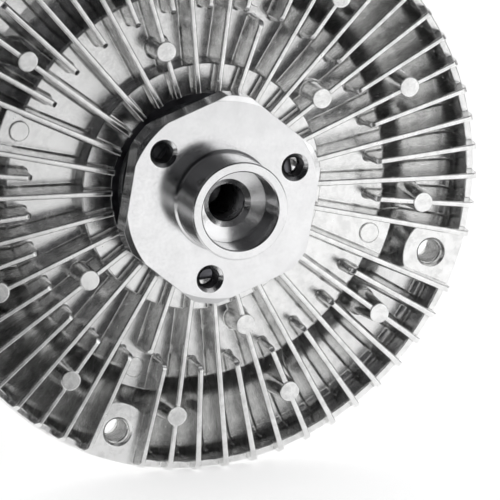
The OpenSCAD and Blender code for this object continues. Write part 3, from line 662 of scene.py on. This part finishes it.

# %% [markdown]
# ## Bimetal coil
# The coil is a strip wound in half rings on two alternating centres. Its inner end sits in the slot of
# the valve's shaft and its outer end in the cover's post, so it bends when the valve turns. In the frame
# it is one rigid solid, and the shaft would cut through it. Here it is three pieces: the inner end rides
# on the valve, the first half ring is a piece of its own that rides on no body, and the rest rides on the
# housing. Half ring n has the radius r0 + n p / 2 about (0, 0) for an even n and (p / 2, 0) for an odd
# one, with p the step of a whole turn.

# %% Bimetal coil
COIL_R, COIL_T, COIL_STEP, COIL_HALVES = 4.5 * MM, 0.9 * MM, 2.6 * MM, 12
COIL_IN, COIL_OUT = -2.0 * MM, 6.6 * MM
HALF_STEPS = 24
coil_low, coil_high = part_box("bimetal_coil")


def coil_strip(inner, outer):
    """Points and faces of the strip between two edges, given as (x, t) in the coil's own plane."""
    edges = np.stack([outer, inner, inner, outer], axis=1)
    y = np.broadcast_to([coil_low[1], coil_low[1], coil_high[1], coil_high[1]], edges.shape[:2])
    points = np.stack([edges[..., 0], y, -edges[..., 1]], axis=-1)
    return points.reshape(-1, 3), tube_faces(len(inner), 4, closed=False)


def half_rings(first, last):
    """The two edges of the half rings first to last, as one strip: centre + radius * (cos f, sin f), with
    f from 180 first to 180 (last + 1) degrees."""
    step = np.arange(first * HALF_STEPS, (last + 1) * HALF_STEPS + 1)
    n = np.minimum(step // HALF_STEPS, last)
    turn = math.pi * step / HALF_STEPS
    ray = np.stack([np.cos(turn), np.sin(turn)], axis=1)
    centre = np.stack([n % 2 * COIL_STEP / 2, 0 * turn], axis=1)
    radius = (COIL_R + n * COIL_STEP / 2)[:, None]
    return centre + radius * ray, centre + (radius + COIL_T) * ray


coil_end = COIL_R + COIL_HALVES * COIL_STEP / 2
hook_x = np.array([[COIL_IN], [COIL_R + COIL_T]]) * [1, 0]
tail_x = np.array([[coil_end], [coil_end + COIL_OUT]]) * [1, 0]
across = np.array([0.0, COIL_T])
hook = coil_strip(hook_x, hook_x - across)
tail = coil_strip(tail_x + across, tail_x)
outer_coil = join_parts([coil_strip(*half_rings(1, COIL_HALVES - 1)), tail])
coil_pieces = [mesh_piece("coil_hook", *hook, bimetal, "valve", "bimetal"),
               mesh_piece("coil_eye", *coil_strip(*half_rings(0, 0)), bimetal, None, "bimetal"),
               mesh_piece("coil_turns", *outer_coil, bimetal, "housing", "bimetal")]
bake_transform(coil_pieces[1])
for piece in coil_pieces:
    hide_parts("bimetal_coil")

# %% [markdown]
# ## Studio
# Bare metal shows its surroundings, so the studio is half of the finish. In the photograph every face
# that looks a little downwards mirrors a white table, every face that looks up or left mirrors a dark
# room, and the channels at the right mirror a soft box. The table is a pale floor that glows a little
# for the rays that see it, so the background is white and the metal shows the same white.

# %% Floor
FLOOR_HALF, FLOOR_GLOW = 4.0, 0.52
FLOOR_TONES = (0.90, 0.92)


def stage_sheet(name, x0, y0, x1, y1, z, material):
    """A flat sheet of the studio, which isn't part of the clutch."""
    corners = [(x0, y0, z), (x1, y0, z), (x1, y1, z), (x0, y1, z)]
    mesh = bpy.data.meshes.new(name)
    mesh.from_pydata(corners, [], [[0, 1, 2, 3]])
    mesh.materials.append(material)
    sheet = bpy.data.objects.new(name, mesh)
    bpy.context.collection.objects.link(sheet)
    return sheet


def matt_paint(name, dark, light):
    """Matt paint with faint clouds between two greys."""
    material, tree, shader, place = new_finish(name, metallic=0.0, Roughness=0.9, Specular_IOR_Level=0.1)
    cloud = grain(tree, place, per_metre=3.0)
    wire(tree, shader, Base_Color=shades(tree, cloud, [(0.3, (dark,) * 3), (0.7, (light,) * 3)]))
    return material, tree, shader, place


def seen_rays(tree):
    """1 for camera, glossy and transmission rays, 0 for the rest."""
    path = tree.nodes.new("ShaderNodeLightPath").outputs
    first = compute(tree, "ADD", path["Is Camera Ray"], path["Is Glossy Ray"])
    return compute(tree, "ADD", first, path["Is Transmission Ray"], use_clamp=True)


floor_z = cad_box[0].z
floor_paint, tree, shader, _ = matt_paint("floor_paint", *FLOOR_TONES)
shader.inputs["Emission Color"].default_value = (*WHITE, 1)
wire(tree, shader, Emission_Strength=compute(tree, "MULTIPLY", seen_rays(tree), FLOOR_GLOW))
stage_sheet("floor", -FLOOR_HALF, -FLOOR_HALF, FLOOR_HALF, FLOOR_HALF, floor_z, floor_paint)
print("floor at", round(floor_z, 4))

# %% [markdown]
# The hub's face and the fins' tops grow darker towards the left, and the channels at the upper left
# mirror black. So the white of the table fades out at the left and ends in front. A grey card on the
# table does that here: it grows from clear to full across a slanted line x + 0.2 y, and again along Y
# far in front. At the left of the line it also changes with the distance from the clutch, and a thin
# shade of it lies round the clutch's foot, where the shadow falls. A second card behind the clutch
# gives the front cover its shading when it is seen from the back. Only reflections show the cards.

# %% Grey cards
CARD_SLANT = 0.2
CARD_FULL_X, CARD_CLEAR_X = -0.047, -0.006
CARD_FULL_Y, CARD_CLEAR_Y = -1.20, -0.40
LEFT_COVER = ((0.25, 1.0), (0.35, 0.48), (0.43, 0.48), (0.60, 1.0))
FOOT_COVER, FOOT_NEAR, FOOT_AWAY = 0.38, 0.10, 0.28
FOOT_FULL_X, FOOT_CLEAR_X = -0.01, 0.09
BACK_CLEAR_Y, BACK_FULL_Y = 0.10, 0.90
CARD_GAP, CARD_HALF = 0.04, 2.0
CARD_LIFT = 1.0 * MM
CARD_TONES = (0.05, 0.07)


def lay_card(name, y0, y1, cover_of):
    """A card from y0 to y1 that only reflections show. cover_of gives its cover, from 0 to 1."""
    paint, tree, shader, place = matt_paint(name + "_paint", *CARD_TONES)
    wire(tree, shader, Alpha=cover_of(tree, split(tree, place)))
    card = stage_sheet(name, -CARD_HALF, y0, CARD_HALF, y1, floor_z + CARD_LIFT, paint)
    card.visible_camera = False
    card.visible_diffuse = False
    card.visible_shadow = False
    print(name, "from", y0, "to", y1)


def cover_in_front(tree, axes):
    """At the left of the slanted line as LEFT_COVER says by distance, thin round the clutch's foot, where
    its shadow falls, and full far in front."""
    across = compute(tree, "MULTIPLY_ADD", axes["Y"], CARD_SLANT, axes["X"])
    away = distance(tree, axes["X"], axes["Y"])
    at_left = spread(tree, across, 1.0, 0.0, CARD_FULL_X, CARD_CLEAR_X)
    by_distance = shades(tree, away, [(reach, (cover,) * 3) for reach, cover in LEFT_COVER])
    left = compute(tree, "MULTIPLY", at_left, by_distance)
    round_foot = spread(tree, away, FOOT_COVER, 0.0, FOOT_NEAR, FOOT_AWAY)
    not_right = spread(tree, across, 1.0, 0.0, FOOT_FULL_X, FOOT_CLEAR_X)
    foot = compute(tree, "MULTIPLY", round_foot, not_right)
    far = spread(tree, axes["Y"], 1.0, 0.0, CARD_FULL_Y, CARD_CLEAR_Y)
    near = compute(tree, "MAXIMUM", left, foot)
    return compute(tree, "MAXIMUM", near, far)


def cover_behind(tree, axes):
    """Full far behind."""
    return spread(tree, axes["Y"], 0.0, 1.0, BACK_CLEAR_Y, BACK_FULL_Y)


lay_card("front_card", -CARD_HALF, -CARD_GAP, cover_in_front)
lay_card("back_card", CARD_GAP, CARD_HALF, cover_behind)

# %% [markdown]
# The world is dark in front, above and to the left and grey to the right, and it turns white behind
# the clutch. The camera itself sees it white, which makes the white background. A direction's X, Y and
# Z say where a ray is heading. One dim light is painted into the world as a patch: the dot product of
# the patch's direction with the ray's own is 1 in the middle and falls off to the sides. It stops above
# the horizon, so the spigot still mirrors a black band.

# %% World
LEFT_DARK, LEFT_X = (0.012, 0.012, 0.013), -0.10
RIGHT_GREY, RIGHT_X = (0.170, 0.170, 0.175), 0.45
BEHIND_START_Y, BEHIND_FULL_Y = 0.05, 0.45
DIM_AT, DIM_INNER, DIM_OUTER, DIM_TONE = (-0.35, -0.83, 0.43), 0.97, 0.84, (0.085, 0.085, 0.088)
DIM_START_Z, DIM_FULL_Z = 0.10, 0.22

world = bpy.data.worlds.new("studio")
world.use_nodes = True
world.cycles.sampling_method = "NONE"
bpy.context.scene.world = world
tree = world.node_tree
direction = add_node(tree, "TexCoord", {}, "Generated")
axes = split(tree, direction)
side = spread(tree, axes["X"], 0.0, 1.0, LEFT_X, RIGHT_X)
room = shades(tree, side, [(0.0, LEFT_DARK), (1.0, RIGHT_GREY)])
behind = spread(tree, axes["Y"], 0.0, 1.0, BEHIND_START_Y, BEHIND_FULL_Y)
facing = add_node(tree, "VectorMath", {0: direction, 1: DIM_AT}, "Value", operation="DOT_PRODUCT")
in_patch = spread(tree, facing, 0.0, 1.0, DIM_OUTER, DIM_INNER)
over_horizon = spread(tree, axes["Z"], 0.0, 1.0, DIM_START_Z, DIM_FULL_Z)
dim = compute(tree, "MULTIPLY", in_patch, over_horizon)
path = tree.nodes.new("ShaderNodeLightPath").outputs
for amount, tone in ((behind, WHITE), (dim, DIM_TONE), (path["Is Camera Ray"], WHITE)):
    room = mixed(tree, amount, room, (*tone, 1))
tree.links.new(room, tree.nodes["Background"].inputs["Color"])
print("world painted")

# %% [markdown]
# Two lamps light the scene. The table's lamp hangs high and is broad, so the shadow on the floor stays
# soft and faint. It is hidden from reflections, because the photograph's metal shows no lamp overhead.
# The soft box stands at the right of the camera, close enough for the right half of the clutch to
# mirror it and the left half to miss it. An area lamp's power is pi times its brightness and area.

# %% Lamps
TABLE_LAMP_AT, TABLE_LAMP_SIZE, TABLE_LAMP_TONE = (0.5, -0.9, 2.2), (2.6, 2.6), 1.0
SOFT_BOX_AT, SOFT_BOX_SIZE, SOFT_BOX_TONE = (0.55, -0.60, 0.22), (0.75, 0.55), 1.2


def area_lamp(name, at, size, tone):
    """A lamp that faces the origin and looks as bright as the tone, where 1 is white."""
    data = bpy.data.lights.new(name, "AREA")
    data.shape = "RECTANGLE"
    data.size, data.size_y = size
    data.energy = math.pi * tone * size[0] * size[1]
    lamp = bpy.data.objects.new(name, data)
    lamp.location = at
    lamp.rotation_euler = (-lamp.location).to_track_quat("-Z", "Y").to_euler()
    lamp.visible_camera = False
    bpy.context.collection.objects.link(lamp)
    print(name, round(data.energy, 2), "W")
    return lamp


table_lamp = area_lamp("table_lamp", TABLE_LAMP_AT, TABLE_LAMP_SIZE, TABLE_LAMP_TONE)
table_lamp.visible_glossy = False
area_lamp("soft_box", SOFT_BOX_AT, SOFT_BOX_SIZE, SOFT_BOX_TONE)
